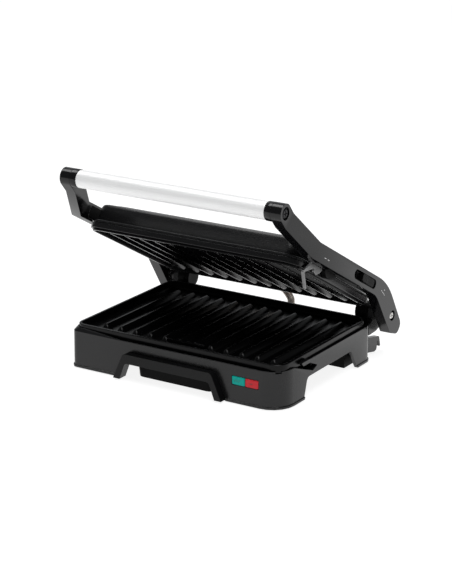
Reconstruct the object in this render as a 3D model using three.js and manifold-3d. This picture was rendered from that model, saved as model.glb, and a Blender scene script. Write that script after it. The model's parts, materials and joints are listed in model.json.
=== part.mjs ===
// A contact grill (panini press): ribbed lower plate in a footed base, and a floating lid
// with a second ribbed plate, carried by two cranked arms that turn about a rear hinge.
// Millimetres, +X to the right, -Y to the front, +Z up. The model stands open, as stored.
import * as THREE from "three";
import { mergeVertices } from "three/addons/utils/BufferGeometryUtils.js";
import Module from "manifold-3d";

const wasm = await Module();
wasm.setup();

// ---------------------------------------------------------------- driving dimensions
const GAP = 0.3; // clearance between pieces that touch

// Lower plate: outer size, and heights above the housing's bottom edge
const PLATE_HALF = 124.6;
const PLATE_DEPTH = 180;
const PLATE_UNDER = 36.3;
const PLATE_FLOOR = 38.2;
const RIM_TOP = 46.2;
const RIM_WALL = 3.2;
const RIB_COUNT = 12;
const RIB_PITCH = 18.5;

// Base housing
const BASE_HALF = 127;
const BASE_FRONT = -4.3;
const BASE_REAR = 183;
const WALL = 2.7;
const HOUSING_TOP = 39.6; // the wall's top edge, below the plate's rim
const REVEAL_FLOOR = 37.2; // floor of the dark groove between that edge and the plate
const LEDGE_TOP = 42.6; // the front left corner's ledge, where it meets the plate's rim
const LEDGE_END = -66; // how far along the front that ledge runs
const FLOOR_Z = 24; // underside of the bottom cover
const FOOT_DROP = 1.2; // how far the rubber feet stand below the housing
const FRONT_RADIUS = 24; // front right corner
const LEFT_RADIUS = 7; // the front left corner is tighter
const REAR_RADIUS = 12;

// Drip tray and the raised bezel round its mouth
const TRAY_X = -3.3;
const TRAY_HALF = 47;
const TRAY_DEPTH = 115;
const BEZEL_OUT = 8;

// Hinge between base and arms, and the lid's frame: its front lower edge and its tilt
const HINGE = { y: 194.3, z: 48.1, r: 4 };
const LID_TILT = THREE.MathUtils.degToRad(28.8);
const LID_FRONT = { y: 22.9, z: 143.0 };

// Lid frame: u runs back along the lid, w stands up from the upper plate's lower edge
const UPPER_HALF = 123;
const UPPER_DEPTH = 178;
const FLANGE_HALF = 126;
const BODY_HALF = 121;
const FLANGE_W = [7.2, 11.2];
const SKIRT_W = 2.4; // the flange's skirt reaches down to here round the plate
const BODY_TOP = 29.5;
const PIVOT = { u: 56, w: 17, r: 3 };
const HOOK_PIVOT = { u: 34, w: 15, r: 2 };
const LID_INLET = { x: -34, w: 18 }; // where the wire sleeve enters the lid

// Arms and handle
const ARM_OUT = 144;
const ARM_THICK = 11.7;
const ARM_IN = ARM_OUT - ARM_THICK;
const SPLAY = 14; // how far the arms close in between knee and handle
const HANDLE = { u: -53, w: 40, r: 9.3 };
const COLLAR_R = 9.8;
const TUBE_HALF = 110.6;

const CORD_HOOK_END = 217;
const GLAND = { x: -60, z: 28 };

// ---------------------------------------------------------------- materials
const shade = (color, roughness, metalness = 0) =>
  new THREE.MeshStandardMaterial({ color, roughness, metalness });

const MAT = {
  housing: shade(0x232325, 0.32),
  arm: shade(0x1b1b1d, 0.22),
  innerPlastic: shade(0x1a1a1a, 0.6),
  nonStick: shade(0x101010, 0.45, 0.2),
  handle: shade(0xd9dadb, 0.35, 0.9),
  steel: shade(0xb9bbbd, 0.3, 0.95),
  sheet: shade(0x9a9ca0, 0.45, 0.9),
  rubber: shade(0x141414, 0.9),
  green: shade(0x16a68c, 0.2),
  red: shade(0xd23a3f, 0.2),
  ceramic: shade(0xd8d2c4, 0.7),
  sleeve: shade(0x9b8f87, 0.5, 0.6),
};

// ---------------------------------------------------------------- shape helpers
function solid(geometry) {
  const bare = geometry.index ? geometry.toNonIndexed() : geometry.clone();
  bare.deleteAttribute("normal");
  bare.deleteAttribute("uv");
  const merged = mergeVertices(bare, 1e-4);
  return new wasm.Manifold(
    new wasm.Mesh({
      numProp: 3,
      vertProperties: merged.attributes.position.array,
      triVerts: new Uint32Array(merged.index.array),
    }),
  );
}

function meshOf(name, body, material) {
  const raw = body.getMesh();
  const geometry = new THREE.BufferGeometry();
  geometry.setAttribute("position", new THREE.BufferAttribute(raw.vertProperties, 3));
  geometry.setIndex(new THREE.BufferAttribute(raw.triVerts, 1));
  const mesh = new THREE.Mesh(geometry.toNonIndexed(), material);
  mesh.geometry.computeVertexNormals();
  mesh.name = name;
  return mesh;
}

const joined = (...bodies) => bodies.reduce((sum, body) => sum.add(body));
const cut = (body, ...tools) => tools.reduce((rest, tool) => rest.subtract(tool), body);

// An outline through [x, y, corner radius] points; a radius of 0 keeps the corner sharp.
function outline(points) {
  const shape = new THREE.Shape();
  const corner = points.map(([x, y]) => new THREE.Vector2(x, y));
  const count = corner.length;
  corner.forEach((here, i) => {
    const back = corner[(i + count - 1) % count];
    const next = corner[(i + 1) % count];
    const r = points[i][2] ?? 0;
    const toBack = back.clone().sub(here).normalize();
    const toNext = next.clone().sub(here).normalize();
    const reach = r / Math.tan(toBack.angleTo(toNext) / 2);
    const start = here.clone().addScaledVector(toBack, reach);
    const end = here.clone().addScaledVector(toNext, reach);
    if (i === 0) shape.moveTo(start.x, start.y);
    else shape.lineTo(start.x, start.y);
    if (r > 0) shape.quadraticCurveTo(here.x, here.y, end.x, end.y);
  });
  shape.closePath();
  return shape;
}

function prism(shape, depth, curveSegments) {
  return new THREE.ExtrudeGeometry(shape, { depth, bevelEnabled: false, curveSegments });
}

const basis = (x, y, z) => new THREE.Matrix4().makeBasis(x, y, z);
const AXIS_X = new THREE.Vector3(1, 0, 0);
const AXIS_Y = new THREE.Vector3(0, 1, 0);
const AXIS_Z = new THREE.Vector3(0, 0, 1);

// A (y, z) outline drawn out along X, and an (x, z) outline drawn out along Y.
function slabX(shape, x0, x1, curveSegments = 4) {
  const geometry = prism(shape, x1 - x0, curveSegments);
  geometry.applyMatrix4(basis(AXIS_Y, AXIS_Z, AXIS_X)).translate(x0, 0, 0);
  return solid(geometry);
}

function slabY(shape, y0, y1, curveSegments = 4) {
  const geometry = prism(shape, y1 - y0, curveSegments);
  geometry.applyMatrix4(basis(AXIS_X, AXIS_Z, AXIS_Y.clone().negate())).translate(0, y1, 0);
  return solid(geometry);
}

function box(x0, x1, y0, y1, z0, z1) {
  const geometry = new THREE.BoxGeometry(x1 - x0, y1 - y0, z1 - z0);
  return solid(geometry.translate((x0 + x1) / 2, (y0 + y1) / 2, (z0 + z1) / 2));
}

// A body turned about X, Y or Z from [distance along the axis, radius] points.
function turned(axis, centre, profile, sides = 20) {
  const points = profile.map(([along, r]) => new THREE.Vector2(r, along));
  const geometry = new THREE.LatheGeometry(points, sides);
  if (axis === "x") geometry.rotateZ(-Math.PI / 2);
  if (axis === "z") geometry.rotateX(Math.PI / 2);
  return solid(geometry.translate(...centre));
}

const rod = (axis, centre, from, to, r, sides = 16) =>
  turned(axis, centre, [[from, 0], [from, r], [to, r], [to, 0]], sides);

// Rounded rectangle of half width `half` from y0 to y1 at height z, as one ring of points.
// The front left corner may have a radius of its own.
function ring([z, half, y0, y1, rFront, rRear = rFront, rLeft = rFront], steps) {
  const corners = [
    [-half + rLeft, y0 + rLeft, rLeft, Math.PI],
    [half - rFront, y0 + rFront, rFront, -Math.PI / 2],
    [half - rRear, y1 - rRear, rRear, 0],
    [-half + rRear, y1 - rRear, rRear, Math.PI / 2],
  ];
  return corners.flatMap(([cx, cy, r, from]) =>
    Array.from({ length: steps + 1 }, (_, k) => {
      const angle = from + (k / steps) * (Math.PI / 2);
      return [cx + r * Math.cos(angle), cy + r * Math.sin(angle), z];
    }),
  );
}

// A closed body through a stack of rounded rectangles, lowest first.
function stack(levels, steps = 5) {
  const rings = levels.map((level) => ring(level, steps));
  const count = rings[0].length;
  const index = [];
  for (let k = 0; k + 1 < rings.length; k++)
    for (let i = 0; i < count; i++) {
      const a = k * count + i;
      const b = k * count + ((i + 1) % count);
      index.push(a, b, b + count, a, b + count, a + count);
    }
  const top = (rings.length - 1) * count;
  for (let i = 1; i + 1 < count; i++) index.push(0, i + 1, i, top, top + i, top + i + 1);
  const geometry = new THREE.BufferGeometry();
  geometry.setAttribute("position", new THREE.Float32BufferAttribute(rings.flat(2), 3));
  return solid(geometry.setIndex(index));
}

// A round tube or wire along a smooth curve.
function wire(points, r, steps, sides = 8) {
  const shape = new THREE.Shape();
  for (let i = 0; i < sides; i++) {
    const angle = (i / sides) * 2 * Math.PI;
    const at = [r * Math.cos(angle), r * Math.sin(angle)];
    if (i === 0) shape.moveTo(...at);
    else shape.lineTo(...at);
  }
  const along = points.map((p) => new THREE.Vector3(...p));
  const curve = new THREE.CatmullRomCurve3(along, false, "catmullrom", 0.4);
  return solid(new THREE.ExtrudeGeometry(shape, { steps, extrudePath: curve }));
}

const ribX = (i) => (i - (RIB_COUNT - 1) / 2) * RIB_PITCH;

// A piece drawn for the right side, as it is or mirrored to the left.
const across = (side, body) => (side > 0 ? body : body.mirror([1, 0, 0]));

// ---------------------------------------------------------------- base
// One level of the housing's outline, drawn in by `inset`.
const housingLevel = (z, inset) => [
  z, BASE_HALF - inset, BASE_FRONT + inset, BASE_REAR - inset,
  FRONT_RADIUS - inset, REAR_RADIUS - inset, LEFT_RADIUS - inset,
];

const housingBlock = () =>
  stack([
    housingLevel(0, -1),
    housingLevel(2.2, -1),
    housingLevel(2.8, 0),
    housingLevel(HOUSING_TOP - 0.4, 0.2),
    housingLevel(HOUSING_TOP, 0.5),
  ]);

// The part of the front left corner where the housing has a ledge and no groove.
function ledgePlan() {
  const plan = outline([
    [-130, -8], [LEDGE_END, -8], [LEDGE_END, BASE_FRONT + 1.3], [-92, 0], [-112, 8], [-130, 30],
  ]);
  return solid(prism(plan, 12, 1).translate(0, 0, REVEAL_FLOOR - 1));
}

// The groove round the plate. It stops short of the ledge.
function reveal() {
  const groove = stack([
    [REVEAL_FLOOR, PLATE_HALF + 1.1, BASE_FRONT + 1.3, PLATE_DEPTH + 1.6, 20, 10, 8],
    [HOUSING_TOP + 1, PLATE_HALF + 1.1, BASE_FRONT + 1.3, PLATE_DEPTH + 1.6, 20, 10, 8],
  ]);
  return cut(groove, ledgePlan());
}

// The ledge slopes up from the wall's top edge to the plate, and fades out along the front.
function frontLedge() {
  const slope = stack([
    housingLevel(HOUSING_TOP - 1, 0.5),
    housingLevel(HOUSING_TOP, 0.5),
    [LEDGE_TOP, PLATE_HALF + 1.1, -1.1, PLATE_DEPTH + 1.1, 15, 12, 10],
  ]);
  const wedge = slabY(
    outline([[-130, 38], [LEDGE_END, 38], [LEDGE_END, HOUSING_TOP], [-112, LEDGE_TOP], [-130, LEDGE_TOP]]),
    -8,
    30,
  );
  return slope.intersect(wedge).intersect(ledgePlan());
}

function lowerHousing() {
  const cavity = stack([housingLevel(-1, 3.4), housingLevel(PLATE_UNDER - GAP, 3.4)]);
  const seat = stack([
    [PLATE_UNDER - 1, PLATE_HALF + 0.4, -0.4, PLATE_DEPTH + 0.4, 15, 15, 10],
    [LEDGE_TOP + 1, PLATE_HALF + 0.4, -0.4, PLATE_DEPTH + 0.4, 15, 15, 10],
  ]);
  const sideArch = slabX(
    outline([[40.5, -2], [47.7, 21.6, 6], [137, 22.2, 6], [146, 8, 4], [152.5, -2]]),
    -BASE_HALF - 3,
    BASE_HALF + 3,
  );
  const trayMouth = slabY(
    outline([
      [TRAY_X - 62.6, -1], [TRAY_X - 53.8, 22.2, 5], [TRAY_X + 53.8, 22.2, 5], [TRAY_X + 62.6, -1],
    ]),
    BASE_FRONT - 3,
    BASE_FRONT + WALL + 1.6,
  );
  const lipRelief = box(TRAY_X - 66.4, TRAY_X + 66.4, BASE_FRONT - 3, BASE_FRONT, -1, 4);
  const lampWindow = box(70, 101, BASE_FRONT - 3, BASE_FRONT + WALL + 1.6, 19, 28.6);
  const latchPocket = slabX(
    outline([
      [17, 40.2], [24, 38.2, 2], [42, 31.5, 2], [58, 25.6, 2], [67.5, 29, 1], [46, 38.4, 1], [32, 40.2],
    ]),
    BASE_HALF - 6,
    BASE_HALF + 3,
  );
  const sleeveHole = rod("y", [16, 0, 24], BASE_REAR - 5, BASE_REAR + 3, 5);
  const cordHole = rod("y", [GLAND.x, 0, GLAND.z], BASE_REAR - 5, BASE_REAR + 3, 5.3);
  const catchNub = slabX(
    outline([[31, 41.5, 1], [35, 37.5], [47, 37.5], [47, 41.5, 1.5]]),
    BASE_HALF - 1.2,
    BASE_HALF + 2.4,
  );
  let body = cut(housingBlock(), cavity, reveal()).add(frontLedge()).subtract(seat);
  for (const [x, y] of coverScrewPlaces()) {
    const reach = Math.sign(x) * (BASE_HALF - 2.6);
    const boss = joined(
      rod("z", [x, y, 0], FLOOR_Z + 2.3, PLATE_UNDER - 2.5, 3.6, 12),
      box(Math.min(x, reach), Math.max(x, reach), y - 1.5, y + 1.5, FLOOR_Z + 4, PLATE_UNDER - 2.5),
    );
    body = body.add(boss);
  }
  for (const [x, y] of coverScrewPlaces())
    body = cut(body, rod("z", [x, y, 0], FLOOR_Z, PLATE_UNDER - 5, 1.9, 10));
  const holes = [sideArch, trayMouth, lipRelief, lampWindow, latchPocket, sleeveHole, cordHole];
  return cut(body, ...holes).add(catchNub);
}

const coverScrewPlaces = () => [-1, 1].flatMap((side) => [68, 122].map((y) => [side * 118.5, y]));

function trayBezel() {
  const face = BASE_FRONT - BEZEL_OUT;
  const back = BASE_FRONT - GAP;
  const arch = (foot, top, low, high, r) =>
    outline([
      [TRAY_X - foot, low], [TRAY_X - top, high, r], [TRAY_X + top, high, r], [TRAY_X + foot, low],
    ]);
  const flange = slabY(arch(65.6, 53.4, 0.8, 28.8, 6), face, back);
  const tunnel = slabY(arch(61.2, 53.2, 0.8, 21.6, 4.5), back - 1, BASE_FRONT + WALL + 0.6);
  const mouth = slabY(arch(58.3, 50.8, -1, 18.8, 4.5), face - 1, 10);
  return cut(flange.add(tunnel), mouth);
}

function bottomCover() {
  const half = BASE_HALF - 3.4 - GAP;
  const front = BASE_FRONT + 3.4 + GAP;
  const rear = BASE_REAR - 3.4 - GAP;
  let cover = stack([
    [FLOOR_Z, half, front, rear, FRONT_RADIUS - 4, REAR_RADIUS - 4, LEFT_RADIUS - 4],
    [FLOOR_Z + 2, half, front, rear, FRONT_RADIUS - 4, REAR_RADIUS - 4, LEFT_RADIUS - 4],
  ]);
  for (const side of [-1, 1])
    for (const [y0, y1, outer] of [[7, 34, 119], [141, 176, 117]]) {
      const inner = 93;
      const [x0, x1] = side > 0 ? [inner, outer] : [-outer, -inner];
      const inside = (low) => box(x0 + 2, x1 - 2, y0 + 2, y1 - 2, low, FLOOR_Z + 3);
      const well = cut(box(x0, x1, y0, y1, 0.4, FLOOR_Z + 1), inside(2.4));
      cover = cut(cover, inside(FLOOR_Z - 1)).add(well);
    }
  for (const side of [-1, 1]) cover = cover.add(archWeb(side));
  for (const [x, y] of footPlaces()) cover = cut(cover, rod("z", [x, y, 0], -1, 3, 3.3, 12));
  for (const [x, y] of coverScrewPlaces())
    cover = cut(cover, rod("z", [x, y, 0], FLOOR_Z - 1, FLOOR_Z + 3, 2, 10));
  const dripHole = box(-24, 24, 5.5, 17, FLOOR_Z - 1, FLOOR_Z + 3);
  const lampNotch = box(69.4, 101.6, -5, 6.6, FLOOR_Z - 1, FLOOR_Z + 3);
  return cut(cover, dripHole, lampNotch);
}

// A web that runs back from the front foot well and backs the front edge of the side arch.
function archWeb(side) {
  const web = slabX(
    outline([[30, 0.8], [51.5, 0.8], [58.5, 21, 4], [58.5, FLOOR_Z + 1], [30, FLOOR_Z + 1]]),
    118,
    121.4,
  );
  return across(side, web);
}

const footPlaces = () => [[-106, 20], [106, 20], [-105, 158], [105, 158]];

function lowerPlate() {
  const block = stack([
    [PLATE_UNDER, PLATE_HALF - 0.8, 0.8, PLATE_DEPTH - 0.8, 14, 14, 9],
    [PLATE_UNDER + 2, PLATE_HALF, 0, PLATE_DEPTH, 15, 15, 10],
    [RIM_TOP - 0.5, PLATE_HALF, 0, PLATE_DEPTH, 15, 15, 10],
    [RIM_TOP, PLATE_HALF - 0.5, 0.5, PLATE_DEPTH - 0.5, 14.5, 14.5, 9.5],
  ], 6);
  const well = stack([
    [PLATE_FLOOR, PLATE_HALF - RIM_WALL - 1.2, RIM_WALL + 1.2, PLATE_DEPTH - RIM_WALL - 1.2, 11, 11, 6],
    [PLATE_FLOOR + 1.5, PLATE_HALF - RIM_WALL, RIM_WALL, PLATE_DEPTH - RIM_WALL, 12, 12, 7],
    [RIM_TOP + 1, PLATE_HALF - RIM_WALL + 0.6, RIM_WALL - 0.6, PLATE_DEPTH - RIM_WALL + 0.6, 12.5, 12.5, 7.5],
  ], 6);
  let plate = cut(block, well);
  for (let i = 0; i < RIB_COUNT; i++) plate = plate.add(lowerRib(ribX(i)));
  const weir = box(-22.5, 22.5, 18.6, 22, PLATE_FLOOR - 0.5, 42.8);
  const drain = box(-16, 16, 6.6, 15.4, PLATE_UNDER - 1, PLATE_FLOOR + 1);
  return cut(plate.add(weir), drain);
}

function lowerRib(x) {
  const rib = stack([
    [PLATE_FLOOR - 0.5, 4.6, 20, 164, 4],
    [PLATE_FLOOR + 3.6, 2.4, 22, 162, 2.2],
    [PLATE_FLOOR + 4.8, 0.9, 23.6, 160.4, 0.8],
  ], 2);
  return rib.translate([x, 0, 0]);
}

// A hairpin element: two leads at the rear and one loop round the plate.
const hairpin = (halfX, front, rear, z) => [
  [-22, rear + 6, z], [-24, rear - 2, z], [-halfX + 16, rear - 6, z], [-halfX, rear - 22, z],
  [-halfX, front + 16, z], [-halfX + 16, front, z], [halfX - 16, front, z], [halfX, front + 16, z],
  [halfX, rear - 22, z], [halfX - 16, rear - 6, z], [24, rear - 2, z], [22, rear + 6, z],
];

function lowerHeatShield() {
  const pan = stack([[FLOOR_Z + 2.3, 112, 24, 158, 12], [34, 114, 22, 160, 14]], 3);
  const hollow = stack([[FLOOR_Z + 3.2, 111, 25, 157, 11], [35, 113.2, 23, 159, 13]], 3);
  return cut(pan, hollow);
}

const lampLens = (x0, x1) =>
  stack([
    [0, (x1 - x0) / 2, -4.3, 4.3, 0.8],
    [4.6, (x1 - x0) / 2, -4.3, 4.3, 0.8],
    [5.3, (x1 - x0) / 2 - 0.7, -3.6, 3.6, 0.5],
  ], 2)
    .rotate([90, 0, 0])
    .translate([(x0 + x1) / 2, BASE_FRONT + 4.6, 23.8]);

const foot = ([x, y]) =>
  turned(
    "z",
    [x, y, 0],
    [[-FOOT_DROP, 0], [-FOOT_DROP, 7.6], [-0.4, 8], [0.1, 8], [0.1, 3], [3.4, 3], [3.4, 0]],
  );

function coverScrew([x, y]) {
  const seat = FLOOR_Z - GAP;
  return turned(
    "z",
    [x, y, 0],
    [[FLOOR_Z - 2, 0], [FLOOR_Z - 2, 2.4], [seat, 3.2], [seat, 1.5], [30, 1.5], [30, 0]],
    12,
  );
}

// The ear beside the arm follows the housing's rear corner; it and the inner knuckle carry the pin.
function hingeBracket(side) {
  const ear = slabX(
    outline([
      [172, 27], [172, 37], [184, 41, 3], [187, 58.4, 8], [204.5, 58.4, 10], [206.8, 32.5, 11], [194, 28, 4],
    ]),
    119.5,
    125.6,
    5,
  );
  const corner = stack([housingLevel(20, -GAP), housingLevel(60, -GAP)]);
  const boss = rod("x", [0, HINGE.y, HINGE.z], 125, ARM_IN - 1.6, 8, 24);
  const bore = rod("x", [0, HINGE.y, HINGE.z], 90, 140, HINGE.r + 0.35, 20);
  return across(side, cut(ear, corner).add(boss).subtract(bore));
}

function hingeBlock(side) {
  const back = BASE_REAR + 0.4;
  const foot = slabX(
    outline([[back, 24], [back, 41], [188, 52, 2], [198, 42, 2], [194, 34, 4], [187, 24]]),
    105,
    119.2,
  );
  const knuckle = rod("x", [0, HINGE.y, HINGE.z], 105, 119.2, 10.4, 28);
  const band = rod("x", [0, HINGE.y, HINGE.z], 110, 113, 11, 28);
  const bore = rod("x", [0, HINGE.y, HINGE.z], 107.4, 140, HINGE.r + 0.35, 20);
  return across(side, cut(joined(foot, knuckle, band), bore));
}

function cordHook(side) {
  const back = BASE_REAR + 0.4;
  const hook = slabX(
    outline([
      [back, 20.8], [206, 16.6, 1], [CORD_HOOK_END - 3, 14.9, 1], [CORD_HOOK_END, 3.6, 1],
      [CORD_HOOK_END - 3, 3.6, 1], [CORD_HOOK_END - 5.4, 10.6, 1], [210, 10.8, 1], [208.5, 1.6, 2],
      [204, 0.4, 2], [back, 4.5],
    ]),
    113.4,
    119,
    2,
  );
  return across(side, hook);
}

function cordGland() {
  const profile = [
    [-2.2, 3.6], [-2.2, 4.9], [0.4, 4.9], [0.4, 8], [2.4, 8], [4, 6.4], [9, 5.4], [9, 3.6], [-2.2, 3.6],
  ];
  return turned("y", [GLAND.x, BASE_REAR, GLAND.z], profile);
}

function wireSleeve() {
  const leave = lidPoint(LID_INLET.x, UPPER_DEPTH + 2.6, LID_INLET.w);
  const path = [
    [16, BASE_REAR + 0.6, 24], [16, 192, 25], [16, 201, 30.5], [14, 206, 40], [6, 207, 49], [-8, 206.5, 55.5],
    [-22, 203.5, 61.5], [-33, leave.y + 6, leave.z - 3.4], [LID_INLET.x, leave.y, leave.z],
  ];
  return wire(path, 4, 28);
}

function trayRail(side) {
  const rail = slabY(
    outline([
      [TRAY_HALF + 0.5, FLOOR_Z - GAP], [TRAY_HALF + 2.6, FLOOR_Z - GAP], [TRAY_HALF + 2.6, 0.7],
      [TRAY_HALF - 4, 0.7], [TRAY_HALF - 4, 1.7], [TRAY_HALF + 0.5, 1.7],
    ]),
    13,
    TRAY_DEPTH + 8,
  );
  return across(side, rail).translate([TRAY_X, 0, 0]);
}

function dripTray() {
  const outer = stack([
    [2, TRAY_HALF - 2, 3, 3 + TRAY_DEPTH, 6],
    [15.4, TRAY_HALF, 3, 5 + TRAY_DEPTH, 6],
  ], 3);
  const inner = stack([
    [3.6, TRAY_HALF - 3.6, 4.6, 1.4 + TRAY_DEPTH, 5],
    [17, TRAY_HALF - 1.4, 4.6, 3.6 + TRAY_DEPTH, 5],
  ], 3);
  return cut(outer, inner).translate([TRAY_X, 0, 0]);
}

// ---------------------------------------------------------------- lid and arms, in the lid frame
function lidPoint(x, u, w) {
  const local = new THREE.Vector3(0, u, w).applyAxisAngle(AXIS_X, -LID_TILT);
  return new THREE.Vector3(x, LID_FRONT.y + local.y, LID_FRONT.z + local.z);
}

// The hinge axis seen from the lid frame.
const hingeInLid = new THREE.Vector3(0, HINGE.y - LID_FRONT.y, HINGE.z - LID_FRONT.z)
  .applyAxisAngle(AXIS_X, LID_TILT);

function lidHousing() {
  const flange = stack([
    [SKIRT_W, FLANGE_HALF - 0.4, -2.6, 180.6, 16.6],
    [SKIRT_W + 0.4, FLANGE_HALF, -3, 181, 17],
    [7.8, FLANGE_HALF, -3, 181, 17],
    [8.2, FLANGE_HALF - 0.9, -2.1, 180.1, 16.1],
    [8.9, FLANGE_HALF - 0.9, -2.1, 180.1, 16.1],
    [9.3, FLANGE_HALF, -3, 181, 17],
    [FLANGE_W[1] - 0.6, FLANGE_HALF, -3, 181, 17],
    [FLANGE_W[1], FLANGE_HALF - 0.7, -2.3, 180.4, 16.5],
  ], 6);
  const body = stack([
    [FLANGE_W[1] - 1, BODY_HALF, 0.6, 180, 14],
    [BODY_TOP - 4, BODY_HALF - 0.8, 1.2, 179.4, 13],
    [BODY_TOP - 1.2, BODY_HALF - 2.2, 2.6, 177, 12],
    [BODY_TOP, BODY_HALF - 5, 5.4, 174, 10],
  ], 5);
  const hollow = stack([
    [FLANGE_W[0] + 1.4, BODY_HALF - 3, 3.6, 176.8, 11],
    [BODY_TOP - 4, BODY_HALF - 3.6, 4.2, 176.4, 11],
    [BODY_TOP - 2.4, BODY_HALF - 6, 6.6, 174, 9],
  ], 3);
  const seat = stack([
    [SKIRT_W - 1, UPPER_HALF + 0.4, -0.4, UPPER_DEPTH + 0.4, 13],
    [FLANGE_W[0] + 2, UPPER_HALF + 0.4, -0.4, UPPER_DEPTH + 0.4, 13],
  ], 6);
  const pivotHoles = rod("x", [0, PIVOT.u, PIVOT.w], -130, 130, PIVOT.r + 0.35, 16);
  const sleeveHole = rod("y", [LID_INLET.x, 0, LID_INLET.w], 170, 186, 5.7);
  return cut(joined(flange, body), hollow, seat, pivotHoles, sleeveHole);
}

function lidCover() {
  return stack([
    [BODY_TOP + GAP, 108, 10, 170.5, 10],
    [BODY_TOP + 1.2, 107.4, 10.6, 169.9, 9.6],
    [BODY_TOP + 2, 104, 14, 166.5, 8],
  ], 4);
}

function upperPlate() {
  const back = FLANGE_W[0] + 1.7;
  const block = stack([
    [0, UPPER_HALF - 0.5, 0.5, UPPER_DEPTH - 0.5, 12.5],
    [0.5, UPPER_HALF, 0, UPPER_DEPTH, 13],
    [back, UPPER_HALF, 0, UPPER_DEPTH, 13],
  ], 6);
  const well = stack([
    [-1, UPPER_HALF - 2.6, 2.6, UPPER_DEPTH - 2.6, 10.4],
    [5, UPPER_HALF - 3.2, 3.2, UPPER_DEPTH - 3.2, 10],
    [6.4, UPPER_HALF - 4.4, 4.4, UPPER_DEPTH - 4.4, 9],
  ], 6);
  let plate = cut(block, well);
  for (let i = 0; i < RIB_COUNT; i++) {
    const rib = stack([
      [0.8, 0.9, 11.4, 165.6, 0.8],
      [2, 2.5, 10, 167, 2.3],
      [6.9, 4.6, 8, 169, 4],
    ], 2);
    plate = plate.add(rib.translate([ribX(i), 0, 0]));
  }
  return plate;
}

function upperHeatShield() {
  const pan = stack([[17, 104, 22, 156, 10], [24, 106, 20, 158, 12]], 3);
  return cut(pan, stack([[16, 103, 23, 155, 9], [23.2, 105.2, 21, 157, 11]], 3));
}

function grommet() {
  const profile = [
    [-5.2, 4.5], [-5.2, 7.4], [-4, 7.4], [-4, 5.4], [0.4, 5.4], [0.4, 6.7], [1.6, 6.2], [1.6, 4.5], [-5.2, 4.5],
  ];
  return turned("y", [LID_INLET.x, 180, LID_INLET.w], profile, 16);
}

// Side view of an arm behind its knee, and the two stretches in front of it.
const KNEE = { top: [3, 28.6], bottom: [-4.6, 10.4] };
const NECK = { top: [-38.3, 44.6], bottom: [-45.3, 26.6] };

function armBlank() {
  const rear = slabX(
    outline([
      [...KNEE.bottom, 0], [148, 9.8, 30], [201.2, -18.6, 2.5], [217.8, -15.6, 8], [221.3, -3.4, 8.6],
      [167, 28.4, 80], [...KNEE.top, 0],
    ]),
    ARM_IN,
    ARM_OUT,
    8,
  );
  const splayShape = outline([KNEE.top, NECK.top, NECK.bottom, KNEE.bottom].map((p) => [...p, 0]));
  const splayed = prism(splayShape, ARM_THICK, 1);
  splayed.applyMatrix4(basis(AXIS_Y, AXIS_Z, AXIS_X)).translate(ARM_IN, 0, 0);
  const at = splayed.attributes.position;
  const neckLimit = (NECK.top[0] + KNEE.bottom[0]) / 2;
  for (let i = 0; i < at.count; i++) if (at.getY(i) < neckLimit) at.setX(i, at.getX(i) - SPLAY);
  const endShape = new THREE.Shape();
  endShape.moveTo(...NECK.bottom);
  endShape.lineTo(...NECK.top);
  endShape.absarc(HANDLE.u, HANDLE.w, COLLAR_R, 1.19, 4.34, false);
  endShape.closePath();
  const end = slabX(endShape, ARM_IN - SPLAY, ARM_OUT - SPLAY, 16);
  return joined(rear, solid(splayed), end);
}

const POCKET = [[8, 12.8, 2], [143, 12.8, 2], [150, 16, 3], [147, 24.2, 3], [8, 26, 2]];
const POCKET_FLOOR = ARM_OUT - 2.6;

function armShell(side) {
  const pocket = slabX(outline(POCKET), ARM_IN - 1, POCKET_FLOOR, 2);
  const hingeBore = rod("x", [0, hingeInLid.y, hingeInLid.z], ARM_IN - 1, ARM_OUT - 3, HINGE.r + 0.3, 20);
  const hingeRecess = rod("x", [0, hingeInLid.y, hingeInLid.z], ARM_OUT - 3, ARM_OUT + 1, 5.6, 24);
  const handleBore = rod("x", [0, HANDLE.u, HANDLE.w], 110, 140, 2.6, 12);
  const handleRecess = rod("x", [0, HANDLE.u, HANDLE.w], ARM_OUT - SPLAY - 2.6, 140, 6.6, 20);
  const shell = cut(armBlank(), pocket, hingeBore, hingeRecess, handleBore, handleRecess);
  if (side < 0) return shell.mirror([1, 0, 0]);
  return cut(shell, slabX(stadium(89, 141, 14.2, 24.2), POCKET_FLOOR - 1, ARM_OUT + 1, 6));
}

function stadium(u0, u1, w0, w1) {
  const r = (w1 - w0) / 2;
  const shape = new THREE.Shape();
  shape.absarc(u1 - r, w0 + r, r, -Math.PI / 2, Math.PI / 2, false);
  shape.absarc(u0 + r, w0 + r, r, Math.PI / 2, (3 * Math.PI) / 2, false);
  shape.closePath();
  return shape;
}

function armCover(side) {
  const inset = [[8.4, 13.2, 2], [142.9, 13.2, 2], [149.5, 16.2, 3], [146.7, 23.8, 3], [8.4, 25.6, 2]];
  const plate = slabX(outline(inset), ARM_IN, ARM_IN + 1.6, 2);
  const pinHole = rod("x", [0, PIVOT.u, PIVOT.w], ARM_IN - 1, ARM_IN + 3, PIVOT.r + 0.3, 16);
  if (side < 0) return cut(plate, pinHole).mirror([1, 0, 0]);
  const { u, w, r } = HOOK_PIVOT;
  return cut(plate, pinHole, rod("x", [0, u, w], ARM_IN - 1, ARM_IN + 3, r + 0.3, 12));
}

const handleTube = () =>
  turned(
    "x",
    [0, HANDLE.u, HANDLE.w],
    [[-TUBE_HALF, 7.9], [-TUBE_HALF, HANDLE.r], [TUBE_HALF, HANDLE.r], [TUBE_HALF, 7.9], [-TUBE_HALF, 7.9]],
    32,
  );

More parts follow.
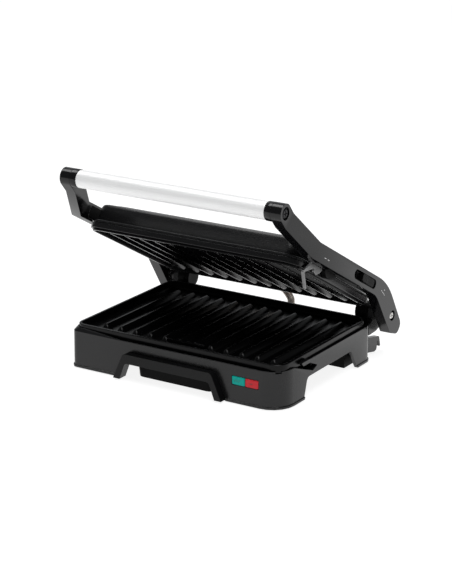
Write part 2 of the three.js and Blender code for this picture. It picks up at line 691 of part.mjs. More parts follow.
const handleCollar = (side) =>
  across(side, turned(
    "x",
    [0, HANDLE.u, HANDLE.w],
    [
      [98, 2.6], [98, 7.5], [TUBE_HALF + GAP, 7.5], [TUBE_HALF + GAP, COLLAR_R - 0.3],
      [TUBE_HALF + 0.8, COLLAR_R], [ARM_IN - SPLAY - GAP, COLLAR_R], [ARM_IN - SPLAY - GAP, 2.6], [98, 2.6],
    ],
    28,
  ));

function handleScrew(side) {
  const seat = ARM_OUT - SPLAY - 2.3;
  return across(side, turned(
    "x",
    [0, HANDLE.u, HANDLE.w],
    [
      [104, 0], [104, 2.2], [seat, 2.2], [seat, 5], [seat + 1.4, 5], [seat + 2, 4.2], [seat + 2, 2],
      [seat + 0.8, 2], [seat + 0.8, 0],
    ],
    16,
  ));
}

const hingePin = (side) =>
  across(side, turned(
    "x",
    [0, hingeInLid.y, hingeInLid.z],
    [
      [107.8, 0], [107.8, HINGE.r - 0.6], [108.4, HINGE.r], [137.6, HINGE.r], [137.6, 2.2], [128, 2.2],
      [128, 0],
    ],
    20,
  ));

const hingeScrew = (side) =>
  across(side, turned(
    "x",
    [0, hingeInLid.y, hingeInLid.z],
    [
      [129, 0], [129, 1.8], [ARM_OUT - 2.7, 1.8], [ARM_OUT - 2.7, 4.2], [ARM_OUT - 1.7, 4.2],
      [ARM_OUT - 0.8, 3], [ARM_OUT - 0.6, 0],
    ],
    16,
  ));

const hingeWasher = (side) =>
  across(side, turned(
    "x",
    [0, hingeInLid.y, hingeInLid.z],
    [[ARM_IN - 1.3, 4.4], [ARM_IN - 1.3, 7.4], [ARM_IN - GAP, 7.4], [ARM_IN - GAP, 4.4], [ARM_IN - 1.3, 4.4]],
    20,
  ));

function pivotPin(side) {
  const head = BODY_HALF - 6.7;
  return across(side, turned(
    "x",
    [0, PIVOT.u, PIVOT.w],
    [[head, 0], [head, 4.6], [head + 1.8, 4.6], [head + 1.8, PIVOT.r], [136.2, PIVOT.r], [136.2, 0]],
    16,
  ));
}

function pivotBracket(side) {
  const plate = slabX(
    outline([[49, 22, 2], [49, 9, 3], [54, 4, 4], [66, 4, 5], [74, 10, 4], [78, 22, 3]]),
    127.2,
    ARM_IN - GAP,
    3,
  );
  return across(side, cut(plate, rod("x", [0, PIVOT.u, PIVOT.w], 120, 140, PIVOT.r + 0.3, 16)));
}

// The thumb lever, the plate that keeps it in its slot, and the rod that works the hook.
function lockSlider() {
  const keeper = box(136.6, POCKET_FLOOR - GAP, 98, 142, 14.6, 23.4);
  const lever = slabX(stadium(106, 139, 14.8, 23.6), 138, ARM_OUT - 1.2, 6);
  const thumb = slabX(
    outline([[104.6, 16.2, 1], [109, 15.2, 2], [135, 15.2, 3], [135, 23.2, 3], [104.6, 23.2, 2]]),
    139,
    ARM_OUT + 2.2,
  );
  const step = box(ARM_OUT + 0.6, ARM_OUT + 4, 116, 140, 14, 24.4);
  const link = box(136.6, 138.6, 46, 99, 17.2, 20.4);
  return joined(keeper, lever, cut(thumb, step), link);
}

function latchHook() {
  const { u, w, r } = HOOK_PIVOT;
  const strip = slabX(
    outline([
      [35, 9.4], [31, 16.6], [24.8, 13, 2], [8, -1.3, 2], [22, -16.8, 1], [24, -15.2, 1], [11.8, -1.4, 1],
    ]),
    127.9,
    130.3,
    3,
  );
  const finger = slabX(
    outline([[28, 12], [30, 3, 1], [35.5, 1.2, 1], [42, 4.6, 1.5], [46, 9, 1], [38, 16]]),
    127.9,
    130.3,
    2,
  );
  const hub = rod("x", [0, u, w], 127.9, 130.3, 6.6, 16);
  const pin = rod("x", [0, u, w], 127.9, 136, r, 12);
  return joined(strip, finger, hub, pin);
}

// ---------------------------------------------------------------- assembly
const model = new THREE.Group();
const base = new THREE.Group();
const upper = new THREE.Group();
upper.position.set(0, LID_FRONT.y, LID_FRONT.z);
upper.rotation.x = -LID_TILT;
model.add(base, upper);

const put = (group, name, body, material) => group.add(meshOf(name, body, material));
const SIDES = [["left", -1], ["right", 1]];

put(base, "lower_housing", lowerHousing(), MAT.housing);
put(base, "tray_bezel", trayBezel(), MAT.housing);
put(base, "bottom_cover", bottomCover(), MAT.innerPlastic);
put(base, "lower_plate", lowerPlate(), MAT.nonStick);
put(base, "lower_heating_element", wire(hairpin(84, 36, 146, PLATE_UNDER - 3.5), 3.2, 44, 6), MAT.steel);
put(base, "lower_heat_shield", lowerHeatShield(), MAT.sheet);
put(base, "lower_thermostat", rod("z", [0, 90, 0], 28.5, PLATE_UNDER - GAP, 8, 16), MAT.ceramic);
put(base, "thermal_fuse", rod("x", [32, 110, PLATE_UNDER - 2.1], 0, 18, 1.8, 10), MAT.steel);
put(base, "terminal_block", box(-40, -10, 165, 175, FLOOR_Z + 2.3, 35), MAT.ceramic);
put(base, "lamp_holder", box(70, 101, 0.6, 6.2, 19.5, 30), MAT.innerPlastic);
put(base, "green_lamp_lens", lampLens(70.4, 85.2), MAT.green);
put(base, "red_lamp_lens", lampLens(85.8, 100.6), MAT.red);
put(base, "cord_gland", cordGland(), MAT.rubber);
put(base, "wire_sleeve", wireSleeve(), MAT.sleeve);
put(base, "drip_tray", dripTray(), MAT.innerPlastic);
footPlaces().forEach((place, i) => put(base, `foot_${i + 1}`, foot(place), MAT.rubber));
coverScrewPlaces().forEach((place, i) => put(base, `cover_screw_${i + 1}`, coverScrew(place), MAT.steel));
for (const [word, side] of SIDES) {
  put(base, `hinge_ear_${word}`, hingeBracket(side), MAT.housing);
  put(base, `hinge_block_${word}`, hingeBlock(side), MAT.innerPlastic);
  put(base, `cord_hook_${word}`, cordHook(side), MAT.housing);
  put(base, `tray_rail_${word}`, trayRail(side), MAT.innerPlastic);
}

for (const [word, side] of SIDES) {
  put(upper, `arm_shell_${word}`, armShell(side), MAT.arm);
  put(upper, `arm_cover_${word}`, armCover(side), MAT.innerPlastic);
  put(upper, `handle_collar_${word}`, handleCollar(side), MAT.arm);
  put(upper, `handle_screw_${word}`, handleScrew(side), MAT.innerPlastic);
  put(upper, `hinge_pin_${word}`, hingePin(side), MAT.steel);
  put(upper, `hinge_screw_${word}`, hingeScrew(side), MAT.steel);
  put(upper, `hinge_washer_${word}`, hingeWasher(side), MAT.steel);
  put(upper, `pivot_pin_${word}`, pivotPin(side), MAT.steel);
  put(upper, `pivot_bracket_${word}`, pivotBracket(side), MAT.innerPlastic);
}
put(upper, "handle_tube", handleTube(), MAT.handle);
put(upper, "lock_slider", lockSlider(), MAT.innerPlastic);
put(upper, "latch_hook", latchHook(), MAT.sheet);

put(upper, "lid_housing", lidHousing(), MAT.housing);
put(upper, "lid_cover", lidCover(), MAT.housing);
put(upper, "upper_plate", upperPlate(), MAT.nonStick);
put(upper, "upper_heating_element", wire(hairpin(84, 34, 146, 13.4), 3.2, 44, 6), MAT.steel);
put(upper, "upper_heat_shield", upperHeatShield(), MAT.sheet);
put(upper, "lid_grommet", grommet(), MAT.rubber);

// Origin: on the surface under the feet, midway between front and rear of the whole object.
const handleY = lidPoint(0, HANDLE.u, HANDLE.w).y;
model.position.set(0, -(handleY - COLLAR_R + CORD_HOOK_END) / 2, FOOT_DROP);

export default new THREE.Group().add(model);
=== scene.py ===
"""A panini press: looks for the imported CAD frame. Metres, +X right, -Y front, +Z up."""

import json
import math

import bmesh
import bpy
from mathutils import Matrix, Vector


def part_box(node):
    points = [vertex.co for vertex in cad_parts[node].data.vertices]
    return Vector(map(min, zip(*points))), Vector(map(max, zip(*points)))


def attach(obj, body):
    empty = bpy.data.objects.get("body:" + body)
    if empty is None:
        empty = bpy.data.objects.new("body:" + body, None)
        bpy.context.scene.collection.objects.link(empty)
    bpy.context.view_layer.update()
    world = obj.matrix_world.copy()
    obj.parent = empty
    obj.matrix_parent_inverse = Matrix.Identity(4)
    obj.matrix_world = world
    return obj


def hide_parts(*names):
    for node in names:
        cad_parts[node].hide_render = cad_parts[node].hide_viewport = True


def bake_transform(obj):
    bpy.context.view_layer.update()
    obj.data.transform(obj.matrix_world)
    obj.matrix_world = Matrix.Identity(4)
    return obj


# ---------------------------------------------------------------- driving values
CAMERA_AT = Vector((1.0613, -1.68846, 0.7191))
CAMERA_AZIMUTH = math.radians(32.24)
CAMERA_ELEVATION = math.radians(17.89)
CAMERA_ROLL = math.radians(0.15)
CAMERA_SENSOR = 36  # mm, along the picture's long side
CAMERA_LENS = 123.74  # mm
CAMERA_RANGE = (0.05, 60)

# The lid's frame: u runs back along the lid, w stands up from the upper plate's lower edge
LID_TILT = math.radians(28.8)
LID_FRONT = Vector((0, -0.078563, 0.1442))
ARM_OUT = 0.144

# The sleeve's centreline from the base to the lid
SLEEVE_PATH = (
    (0.016, 0.082137, 0.0252),
    (0.016, 0.090537, 0.0262),
    (0.016, 0.099537, 0.0317),
    (0.014, 0.104537, 0.0412),
    (0.006, 0.105537, 0.0502),
    (-0.008, 0.105037, 0.0567),
    (-0.022, 0.102037, 0.0627),
    (-0.033, 0.094370, 0.069569),
    (-0.034, 0.088370, 0.072969),
)
SLEEVE_RADIUS = 0.0039
SLEEVE_RINGS = 150
SLEEVE_SIDES = 32
BRAID_STRANDS = 8
BRAID_TURN = 0.42  # radians that a strand advances per ring
BRAID_RISE = 0.00014
CURVE_PULL = 0.4  # how far a curve's tangents reach: 0.5 would be a Catmull-Rom spline

SCREW_SIDES = 36
SCREW_FOOT = 0.0011  # how deep a screw's head is set
SCREW_PIT = 0.0009  # depth of its cross recess
SCREW_SOFT = 0.00009

# Marks on the right arm: start and end (u, w) and width, in mm of the lid's frame
ARM_MARKS = (
    ((19.0, 17.0), (22.6, 16.9), 0.9),
    ((26.0, 16.9), (29.6, 16.8), 0.9),
    ((155.6, 17.6), (166.4, 14.4), 0.7),
    ((162.4, 19.4), (163.9, 18.9), 1.5),
)
# Marks on the lenses: the node, how far each bar is from its middle, and half the bar's span
LAMP_MARKS = (
    ("green_lamp_lens", (-0.0036, -0.0012, 0.0012), Vector((0.0007, 0, 0.0011))),
    ("red_lamp_lens", (0.0,), Vector((0.0016, 0, 0))),
)
LAMP_MARK_WIDTH = 0.0006
INK_PROUD = 0.00006
INK_SUNK = 0.0001
INK_SOFT = 0.00003

FLOOR_RADIUS = 9
FLOOR_DROP = 0.0002
FLOOR_GREY = 0.3
FLOOR_GLOW = 0.88
SKY = 0.16  # strength of the dim studio all round
SKY_TINT = (0.96, 0.98, 1.0, 1)
GLOW_TOWARDS = Vector((-0.50, 0.80, 0.31))  # the pale wall behind and to the left
GLOW_SPREAD = (0.55, 0.93)  # cosine of the angle from it where the glow starts and is full
GLOW = 0.5  # strength where the glow is full
LIGHTS = (  # name, place, size, watts
    ("key", (1.0, -0.9, 2.4), (1.4, 1.2), 34),
    ("top", (-0.9, 0.1, 2.4), (1.2, 1.5), 26),
)
LIGHTS_AIM = (0, 0, 0.1)

SMOOTH_ANGLE = math.radians(32)
WELD = 2e-6
BEVEL_ANGLE = math.radians(30)
EDGE_RADIUS = 0.00045  # rounding of edges, in shading only
CAST_EDGE = 0.0006  # the castings have rounder edges than the mouldings
EDGE_SAMPLES = 8
DUST = 0.03
DUST_COLOUR = (0.55, 0.53, 0.5)

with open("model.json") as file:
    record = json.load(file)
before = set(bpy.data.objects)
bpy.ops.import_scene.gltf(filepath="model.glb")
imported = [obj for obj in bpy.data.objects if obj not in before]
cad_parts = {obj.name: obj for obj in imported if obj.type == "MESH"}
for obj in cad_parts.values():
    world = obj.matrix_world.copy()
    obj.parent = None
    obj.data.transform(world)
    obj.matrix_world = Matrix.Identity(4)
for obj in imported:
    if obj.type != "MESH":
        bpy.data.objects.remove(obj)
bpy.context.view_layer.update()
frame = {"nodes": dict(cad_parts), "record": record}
cad = frame["nodes"]


# ---------------------------------------------------------------- node helpers
class Shader:
    """A material's node tree, with short calls to add and join nodes."""

    def __init__(self, name):
        self.material = bpy.data.materials.new(name)
        self.material.use_nodes = True
        self.tree = self.material.node_tree
        self.bsdf = self.tree.nodes["Principled BSDF"]
        self.place = self.add("ShaderNodeTexCoord").outputs["Object"]

    def add(self, kind, **settings):
        node = self.tree.nodes.new(kind)
        for key, value in settings.items():
            setattr(node, key, value)
        return node

    def join(self, source, target):
        self.tree.links.new(source, target)

    def stretched(self, scale, turn=(0, 0, 0)):
        """Object coordinates turned, then scaled by a different amount along each axis."""
        node = self.add("ShaderNodeMapping")
        node.inputs["Scale"].default_value = scale
        node.inputs["Rotation"].default_value = turn
        self.join(self.place, node.inputs["Vector"])
        return node.outputs["Vector"]

    def noise(self, scale, detail, roughness=0.5, vector=None):
        node = self.add("ShaderNodeTexNoise")
        node.inputs["Scale"].default_value = scale
        node.inputs["Detail"].default_value = detail
        node.inputs["Roughness"].default_value = roughness
        self.join(vector or self.place, node.inputs["Vector"])
        return node.outputs["Fac"]

    def spots(self, scale):
        """Distance from the nearest of many scattered points."""
        node = self.add("ShaderNodeTexVoronoi", feature="F1")
        node.inputs["Scale"].default_value = scale
        self.join(self.place, node.inputs["Vector"])
        return node.outputs["Distance"]

    def spread(self, value, low, high, to_low=0.0, to_high=1.0):
        """Maps low..high of a value to to_low..to_high, clamped."""
        node = self.add("ShaderNodeMapRange")
        ends = {"From Min": low, "From Max": high, "To Min": to_low, "To Max": to_high}
        for key, number in ends.items():
            node.inputs[key].default_value = number
        self.join(value, node.inputs["Value"])
        return node.outputs["Result"]

    def math(self, operation, a, b):
        node = self.add("ShaderNodeMath", operation=operation)
        for socket, value in zip(node.inputs, (a, b)):
            if isinstance(value, (int, float)):
                socket.default_value = value
            else:
                self.join(value, socket)
        return node.outputs["Value"]

    def blend(self, factor, a, b):
        """Mixes two colours, given as tuples or sockets, by a factor."""
        node = self.add("ShaderNodeMix", data_type="RGBA")
        self.join(factor, node.inputs["Factor"])
        for socket, value in ((node.inputs[6], a), (node.inputs[7], b)):
            if isinstance(value, tuple):
                socket.default_value = (*value, 1.0)
            else:
                self.join(value, socket)
        return node.outputs[2]

    def finish(self, colour, rough, height, depth, distance, metal=0.0, shine=0.5, edge_radius=EDGE_RADIUS):
        """Joins colour, roughness and bump to the surface, with softened edges."""
        self.join(colour, self.bsdf.inputs["Base Color"])
        self.join(rough, self.bsdf.inputs["Roughness"])
        self.bsdf.inputs["Metallic"].default_value = metal
        self.bsdf.inputs["Specular IOR Level"].default_value = shine
        edge = self.add("ShaderNodeBevel", samples=EDGE_SAMPLES)
        edge.inputs["Radius"].default_value = edge_radius
        bump = self.add("ShaderNodeBump")
        bump.inputs["Strength"].default_value = depth
        bump.inputs["Distance"].default_value = distance
        self.join(height, bump.inputs["Height"])
        self.join(edge.outputs["Normal"], bump.inputs["Normal"])
        self.join(bump.outputs["Normal"], self.bsdf.inputs["Normal"])
        return self.material


# ---------------------------------------------------------------- materials
def moulded_plastic(name, dark, light, rough, shine, grain=0.12):
    """Injection-moulded plastic: fine grain, faint flow marks, wiping marks and a little dust."""
    s = Shader(name)
    flow = s.noise(9, 4)
    plain = s.blend(s.spread(flow, 0.35, 0.65), dark, light)
    specks = s.spread(s.noise(900, 2), 0.68, 0.8)
    colour = s.blend(s.math("MULTIPLY", specks, DUST), plain, DUST_COLOUR)
    wiped = s.noise(14, 5, 0.6, s.stretched((1, 3.5, 1.5), (0.3, 0.2, 0.5)))
    gloss = s.spread(wiped, 0.3, 0.7, rough * 0.82, rough * 1.25)
    return s.finish(colour, gloss, s.noise(2600, 2), grain, 0.00006, shine=shine)


def non_stick():
    """Sprayed non-stick coat on a casting: a few pale flecks, fine orange peel and cloudy gloss."""
    s = Shader("non_stick_coat")
    cloud = s.noise(26, 4)
    coat = s.blend(s.spread(cloud, 0.3, 0.7), (0.0012, 0.0012, 0.0014), (0.0022, 0.0022, 0.0024))
    fleck = s.spread(s.spots(1500), 0.0, 0.14, 1.0, 0.0)
    colour = s.blend(s.math("MULTIPLY", fleck, 0.05), coat, (0.1, 0.1, 0.11))
    rough = s.spread(s.noise(60, 4), 0.3, 0.7, 0.2, 0.28)
    peel = s.noise(1500, 2)
    return s.finish(colour, rough, peel, 0.08, 0.00003, shine=0.16, edge_radius=CAST_EDGE)


def brushed_aluminium():
    """Drawn tube, brushed along its length and satin anodised."""
    s = Shader("brushed_aluminium")
    lines = s.noise(1, 4, 0.7, s.stretched((22, 2600, 2600)))
    broad = s.noise(1, 2, 0.5, s.stretched((7, 420, 420)))
    both = s.math("ADD", s.math("MULTIPLY", lines, 0.7), s.math("MULTIPLY", broad, 0.3))
    colour = s.blend(s.spread(both, 0.35, 0.65), (0.9, 0.9, 0.9), (0.98, 0.98, 0.98))
    rough = s.spread(lines, 0.3, 0.7, 0.4, 0.54)
    return s.finish(colour, rough, lines, 0.2, 0.00004, metal=0.25)


def bare_metal(name, dark, light, rough, scale):
    """Plated or rolled steel with fine scratches and cloudy oil marks."""
    s = Shader(name)
    scratch = s.noise(1, 5, 0.65, s.stretched(scale))
    colour = s.blend(s.spread(scratch, 0.3, 0.7), dark, light)
    cloudy = s.spread(s.noise(120, 4), 0.3, 0.7, rough * 0.8, rough * 1.3)
    return s.finish(colour, cloudy, scratch, 0.2, 0.00004, metal=1.0)


def rubber():
    """Matt moulded rubber with dusty pores."""
    s = Shader("matt_rubber")
    dusty = s.spread(s.noise(240, 5), 0.4, 0.75)
    colour = s.blend(dusty, (0.012, 0.012, 0.012), (0.035, 0.034, 0.032))
    rough = s.spread(s.noise(90, 3), 0.3, 0.7, 0.72, 0.9)
    pores = s.noise(1800, 3)
    return s.finish(colour, rough, pores, 0.4, 0.0001)


def ceramic():
    """Unglazed ceramic with a chalky grain."""
    s = Shader("unglazed_ceramic")
    cloudy = s.spread(s.noise(300, 5), 0.35, 0.7)
    colour = s.blend(cloudy, (0.6, 0.56, 0.48), (0.74, 0.71, 0.64))
    rough = s.spread(s.noise(500, 3), 0.3, 0.7, 0.6, 0.85)
    grain = s.noise(2200, 3)
    return s.finish(colour, rough, grain, 0.5, 0.0001)


def tinted_lens(name, deep, bright):
    """Tinted lens: upright prisms inside, seen as brighter and deeper bands."""
    s = Shader(name)
    wave = s.add("ShaderNodeTexWave", wave_type="BANDS", bands_direction="X")
    wave.inputs["Scale"].default_value = 330
    wave.inputs["Distortion"].default_value = 0.4
    s.join(s.place, wave.inputs["Vector"])
    bands = wave.outputs["Fac"]
    colour = s.blend(s.spread(bands, 0.1, 0.9), deep, bright)
    rough = s.spread(s.noise(400, 3), 0.3, 0.7, 0.1, 0.2)
    return s.finish(colour, rough, bands, 0.15, 0.00015, shine=0.15)


def braid():
    """Braided wire over a sleeve: the weave is in the mesh, this adds strand lines and tarnish."""
    s = Shader("braided_wire")
    tarnish = s.spread(s.noise(110, 4), 0.35, 0.7)
    colour = s.blend(tarnish, (0.62, 0.56, 0.5), (0.34, 0.27, 0.22))
    rough = s.spread(s.noise(900, 3), 0.3, 0.7, 0.3, 0.5)
    strand = s.noise(3000, 2)
    return s.finish(colour, rough, strand, 0.3, 0.00008, metal=0.85)


def printed_ink(name, thin, full):
    """Pad-printed marks, slightly uneven where the ink is thin."""
    s = Shader(name)
    colour = s.blend(s.spread(s.noise(1400, 4), 0.35, 0.65), thin, full)
    rough = s.spread(s.noise(700, 3), 0.3, 0.7, 0.4, 0.6)
    grain = s.noise(2600, 2)
    return s.finish(colour, rough, grain, 0.2, 0.00004)


def grey(value, cool=0.0):
    """A grey colour, with a little more blue if it is cool."""
    return (value, value, value + cool)


LOOKS = {
    "housing": moulded_plastic("housing_plastic", grey(0.0035, 0.0003), grey(0.006, 0.0005), 0.24, 0.36),
    "arm": moulded_plastic("arm_plastic", grey(0.0022, 0.0004), grey(0.004, 0.0005), 0.13, 0.36, 0.05),
    "inner_plastic": moulded_plastic("inner_plastic", grey(0.002), grey(0.004), 0.4, 0.06, 0.3),
    # the bezel look is a darker, duller copy of the housing plastic: painted shade for the bezel in the
    # shadowed tray mouth
    "bezel": moulded_plastic("bezel_plastic_painted_shade", grey(0.002, 0.0002), grey(0.004, 0.0004), 0.3, 0.18),
    "non_stick": non_stick(),
    "handle": brushed_aluminium(),
    "steel": bare_metal("plated_steel", (0.5, 0.49, 0.47), (0.8, 0.79, 0.77), 0.24, (700, 900, 700)),
    "black_steel": bare_metal(
        "blackened_steel", grey(0.012, 0.001), grey(0.03, 0.002), 0.34, (700, 900, 700)
    ),
    "sheet": bare_metal("rolled_sheet", grey(0.13), grey(0.24), 0.36, (60, 1400, 1400)),
    "rubber": rubber(),
    "green_lens": tinted_lens("green_lens", (0.0, 0.2, 0.17), (0.0, 0.48, 0.4)),
    "red_lens": tinted_lens("red_lens", (0.36, 0.012, 0.018), (0.72, 0.04, 0.05)),
    "ceramic": ceramic(),
    "sleeve": braid(),
}
PAINTED_SHADE_NODES = {"tray_bezel": "bezel"}  # the tray's bezel takes the darker bezel look instead of its slot's: painted shade for the shadowed tray mouth
WHITE_INK = printed_ink("white_ink", grey(0.45), grey(0.75))
DARK_INK = printed_ink("dark_ink", grey(0.012), grey(0.03))


def smooth_group():
    """Geometry nodes that weld split vertices and keep only edges over an angle sharp."""
    tree = bpy.data.node_groups.new("smooth_by_angle", "GeometryNodeTree")
    tree.interface.new_socket("Geometry", in_out="INPUT", socket_type="NodeSocketGeometry")
    tree.interface.new_socket("Geometry", in_out="OUTPUT", socket_type="NodeSocketGeometry")
    start = tree.nodes.new("NodeGroupInput")
    end = tree.nodes.new("NodeGroupOutput")
    weld = tree.nodes.new("GeometryNodeMergeByDistance")
    weld.inputs["Distance"].default_value = WELD
    angle = tree.nodes.new("GeometryNodeInputMeshEdgeAngle")
    low = tree.nodes.new("FunctionNodeCompare")
    low.data_type = "FLOAT"
    low.operation = "LESS_THAN"
    low.inputs[1].default_value = SMOOTH_ANGLE
    faces = tree.nodes.new("GeometryNodeSetShadeSmooth")
    edges = tree.nodes.new("GeometryNodeSetShadeSmooth")
    edges.domain = "EDGE"
    link = tree.links.new
    link(start.outputs[0], weld.inputs["Geometry"])
    link(weld.outputs[0], faces.inputs["Geometry"])
    link(faces.outputs[0], edges.inputs["Geometry"])
    link(angle.outputs["Unsigned Angle"], low.inputs[0])
    link(low.outputs[0], edges.inputs["Shade Smooth"])
    link(edges.outputs[0], end.inputs[0])
    return tree


def dress_cad_nodes():
    """Gives every CAD node its slot's material, or a darker copy painted with shade for the tray's bezel,
    and smooth shading.
    """
    group = smooth_group()
    slot_of = {row["node"]: row["material_slot"] for row in frame["record"]["subparts"]}
    for name, obj in cad.items():
        for layer in ("custom_normal", "sharp_face", "sharp_edge"):
            if layer in obj.data.attributes:
                obj.data.attributes.remove(obj.data.attributes[layer])
        modifier = obj.modifiers.new("smooth", "NODES")
        modifier.node_group = group
        obj.material_slots[0].material = LOOKS[PAINTED_SHADE_NODES.get(name, slot_of[name])]


# ---------------------------------------------------------------- mesh helpers
def piece(name, build, body, look):
    """Makes an object of a bmesh, with its material, riding on a body if one is named."""
    bmesh.ops.recalc_face_normals(build, faces=build.faces)
    mesh = bpy.data.meshes.new(name)
    build.to_mesh(mesh)
    build.free()
    mesh.materials.append(look)
    obj = bpy.data.objects.new(name, mesh)
    bpy.context.scene.collection.objects.link(obj)
    if body:
        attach(obj, body)
    return obj


def soften(obj, width, segments=2):
    """Bevels an object's edges."""
    edge = obj.modifiers.new("soft_edges", "BEVEL")
    edge.width = width
    edge.segments = segments
    edge.limit_method = "ANGLE"
    edge.angle_limit = BEVEL_ANGLE


def wall(build, first, second):
    """Joins two rings of as many vertices with a band of faces."""
    for k in range(len(first)):
        build.faces.new((first[k - 1], first[k], second[k], second[k - 1]))


def bar(build, start, end, width, normal):
    """A thin raised bar from start to end on a face, with the face's normal."""
    along = (end - start).normalized()
    across = along.cross(normal).normalized() * width / 2
    corners = [start - across, end - across, end + across, start + across]
    bottom = [build.verts.new(p - normal * INK_SUNK) for p in corners]
    top = [build.verts.new(p + normal * INK_PROUD) for p in corners]
    build.faces.new(top)
    build.faces.new(bottom)
    wall(build, bottom, top)


def curve_point(points, t):
    """A point at t, from 0 to 1, on a cardinal spline through the points."""
    span = min(int(t * (len(points) - 1)), len(points) - 2)
    f = t * (len(points) - 1) - span
    p1, p2 = Vector(points[span]), Vector(points[span + 1])
    p0 = Vector(points[span - 1]) if span > 0 else p1 * 2 - p2
    p3 = Vector(points[span + 2]) if span + 2 < len(points) else p2 * 2 - p1
    m1, m2 = CURVE_PULL * (p2 - p0), CURVE_PULL * (p3 - p1)
    return (
        (2 * f**3 - 3 * f**2 + 1) * p1 + (f**3 - 2 * f**2 + f) * m1
        + (3 * f**2 - 2 * f**3) * p2 + (f**3 - f**2) * m2
    )


def lid_place(x, u, w):
    """A point of the lid's frame, in the row's frame."""
    back = Vector((0, math.cos(LID_TILT), -math.sin(LID_TILT)))
    up = Vector((0, math.sin(LID_TILT), math.cos(LID_TILT)))
    return Vector((x, 0, 0)) + LID_FRONT + u * back + w * up


# ---------------------------------------------------------------- detail pieces
def circle(radius):
    """Points of a round outline, as pairs."""
    turns = [k / SCREW_SIDES * math.tau for k in range(SCREW_SIDES)]
    return [(radius * math.cos(turn), radius * math.sin(turn)) for turn in turns]


def cross(arm, half):
    """Points of a cross with that reach and half width, as pairs."""
    return [
        (half, half), (half, arm), (-half, arm), (-half, half), (-arm, half), (-arm, -half),
        (-half, -half), (-half, -arm), (half, -arm), (half, -half), (arm, -half), (arm, half),
    ]


def cross_screw(node, side, radius, rise, slot):
    """A pan-head screw with a cross recess, in place of a plain CAD screw. It faces along X."""
    low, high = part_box(node)
    face = high.x if side > 0 else low.x
    centre = Vector((face, (low.y + high.y) / 2, (low.z + high.z) / 2))
    build = bmesh.new()

    def ring(outline, height):
        return [build.verts.new(centre + Vector((side * height, a, b))) for a, b in outline]

    recess = cross(radius * 0.62, radius * 0.13)
    foot = ring(circle(radius), -SCREW_FOOT)
    rim = ring(circle(radius), -rise)
    crown = ring(circle(radius * 0.84), -rise * 0.3)
    top = ring(circle(radius * 0.72), 0)
    mouth = ring(recess, 0)
    pit = ring([(a * 0.8, b * 0.8) for a, b in recess], -SCREW_PIT)
    for first, second in ((foot, rim), (rim, crown), (crown, top), (mouth, pit)):
        wall(build, first, second)
    build.faces.new(pit)
    build.faces.new(foot)
    borders = [(loop[k - 1], loop[k]) for loop in (top, mouth) for k in range(len(loop))]
    edges = [build.edges.get(border) for border in borders]
    bmesh.ops.triangle_fill(build, use_beauty=True, edges=edges)
    obj = piece("cross_" + node, build, "arms", LOOKS[slot])
    soften(obj, SCREW_SOFT)
    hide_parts(node)


def braided_sleeve():
    """The wires' sleeve from the base to the lid, with crossing strands raised on it."""
    line = [curve_point(SLEEVE_PATH, k / SLEEVE_RINGS) for k in range(SLEEVE_RINGS + 1)]
    build = bmesh.new()
    side = Vector((1, 0, 0))
    rows = []
    for k, here in enumerate(line):
        along = (line[min(k + 1, SLEEVE_RINGS)] - line[max(k - 1, 0)]).normalized()
        side = (side - side.dot(along) * along).normalized()
        up = along.cross(side)
        lay = k * BRAID_TURN
        row = []
        for j in range(SLEEVE_SIDES):
            angle = j / SLEEVE_SIDES * math.tau
            one_way = math.sin(BRAID_STRANDS * angle + lay)
            other_way = math.sin(BRAID_STRANDS * angle - lay)
            r = SLEEVE_RADIUS + BRAID_RISE * max(one_way, other_way)
            row.append(build.verts.new(here + r * (math.cos(angle) * side + math.sin(angle) * up)))
        rows.append(row)
    for first, second in zip(rows, rows[1:]):
        wall(build, first, second)
    build.faces.new(rows[0])
    build.faces.new(rows[-1])
    for face in build.faces:
        face.smooth = len(face.verts) == 4
    obj = piece("braided_sleeve", build, None, LOOKS["sleeve"])
    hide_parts("wire_sleeve")
    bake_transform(obj)


def arm_marks():
    """Plain white ticks on the right arm: two near the latch, and a line and a dot behind the slider."""
    build = bmesh.new()
    for start, end, width in ARM_MARKS:
        ends = [lid_place(ARM_OUT, u / 1000, w / 1000) for u, w in (start, end)]
        bar(build, *ends, width / 1000, Vector((1, 0, 0)))
    soften(piece("arm_marks", build, "arms", WHITE_INK), INK_SOFT, 1)


def lamp_marks():
    """Small plain marks printed on the two lamp lenses."""
    build = bmesh.new()
    for node, steps, half in LAMP_MARKS:
        low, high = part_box(node)
        middle = Vector(((low.x + high.x) / 2, low.y, (low.z + high.z) / 2))
        for step in steps:
            at = middle + Vector((step, 0, 0))
            bar(build, at - half, at + half, LAMP_MARK_WIDTH, Vector((0, -1, 0)))
    soften(piece("lamp_marks", build, "base", DARK_INK), INK_SOFT, 1)


def make_details():
    """Everything that is finer than the CAD model."""
    for word, side in (("left", -1), ("right", 1)):
        cross_screw(f"hinge_screw_{word}", side, 0.0042, 0.0011, "steel")
        cross_screw(f"handle_screw_{word}", side, 0.005, 0.0009, "black_steel")
    braided_sleeve()
    arm_marks()
    lamp_marks()


# ---------------------------------------------------------------- stage
def look_along(azimuth, elevation, roll):
    """Rotation of a camera that stands at an azimuth and elevation and looks at the object."""
    right = Vector((math.cos(azimuth), math.sin(azimuth), 0))
    back = Vector((
        math.sin(azimuth) * math.cos(elevation),
        -math.cos(azimuth) * math.cos(elevation),
        math.sin(elevation),
    ))
    up = back.cross(right)
    level = Matrix((right, up, back)).transposed()
    return level @ Matrix.Rotation(roll, 3, "Z")


def make_camera():
    """The camera, from the front right and a little above."""
    data = bpy.data.cameras.new("camera")
    data.lens = CAMERA_LENS
    data.sensor_width = CAMERA_SENSOR
    data.clip_start, data.clip_end = CAMERA_RANGE
    turned = look_along(CAMERA_AZIMUTH, CAMERA_ELEVATION, CAMERA_ROLL)
    camera = bpy.data.objects.new("camera", data)
    camera.matrix_world = Matrix.Translation(CAMERA_AT) @ turned.to_4x4()
    bpy.context.scene.collection.objects.link(camera)
    bpy.context.scene.camera = camera


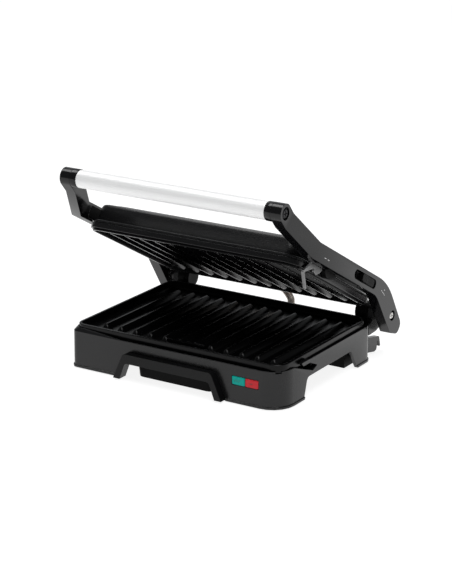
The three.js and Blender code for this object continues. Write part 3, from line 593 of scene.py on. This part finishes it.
def make_floor():
    """A round pale floor that glows, so that shadows on it stay faint."""
    mesh = bpy.data.meshes.new("floor")
    build = bmesh.new()
    bmesh.ops.create_circle(build, cap_ends=True, segments=96, radius=FLOOR_RADIUS)
    build.to_mesh(mesh)
    build.free()
    floor = bpy.data.objects.new("floor", mesh)
    floor.location.z = -FLOOR_DROP
    bpy.context.scene.collection.objects.link(floor)
    s = Shader("floor")
    s.bsdf.inputs["Base Color"].default_value = (FLOOR_GREY, FLOOR_GREY, FLOOR_GREY, 1)
    s.bsdf.inputs["Roughness"].default_value = 0.9
    s.bsdf.inputs["Specular IOR Level"].default_value = 0.0
    s.bsdf.inputs["Emission Color"].default_value = (1, 1, 1, 1)
    s.bsdf.inputs["Emission Strength"].default_value = FLOOR_GLOW
    mesh.materials.append(s.material)


def soft_light(name, at, size, power):
    """A rectangular lamp at a point, turned towards the object."""
    data = bpy.data.lights.new(name, "AREA")
    data.shape = "RECTANGLE"
    data.size, data.size_y = size
    data.energy = power
    light = bpy.data.objects.new(name, data)
    light.location = at
    light.rotation_mode = "QUATERNION"
    light.rotation_quaternion = (Vector(LIGHTS_AIM) - Vector(at)).to_track_quat("-Z", "Y")
    bpy.context.scene.collection.objects.link(light)


def make_world():
    """A dim studio with one pale wall behind the object and to its left."""
    world = bpy.data.worlds.new("studio")
    world.use_nodes = True
    tree = world.node_tree
    direction = tree.nodes.new("ShaderNodeTexCoord")
    towards = tree.nodes.new("ShaderNodeVectorMath")
    towards.operation = "DOT_PRODUCT"
    towards.inputs[1].default_value = GLOW_TOWARDS.normalized()
    glow = tree.nodes.new("ShaderNodeMapRange")
    ends = ("From Min", "From Max", "To Min", "To Max")
    for key, number in zip(ends, (*GLOW_SPREAD, SKY, GLOW)):
        glow.inputs[key].default_value = number
    tree.links.new(direction.outputs["Generated"], towards.inputs[0])
    tree.links.new(towards.outputs["Value"], glow.inputs["Value"])
    sky = tree.nodes["Background"]
    sky.inputs["Color"].default_value = SKY_TINT
    tree.links.new(glow.outputs["Result"], sky.inputs["Strength"])
    bpy.context.scene.world = world


def make_light():
    """The world, the lamps and how the render's colours are shown."""
    make_world()
    bpy.context.scene.view_settings.view_transform = "Standard"
    for name, at, size, power in LIGHTS:
        soft_light(name, at, size, power)


dress_cad_nodes()
make_details()
make_camera()
make_floor()
make_light()
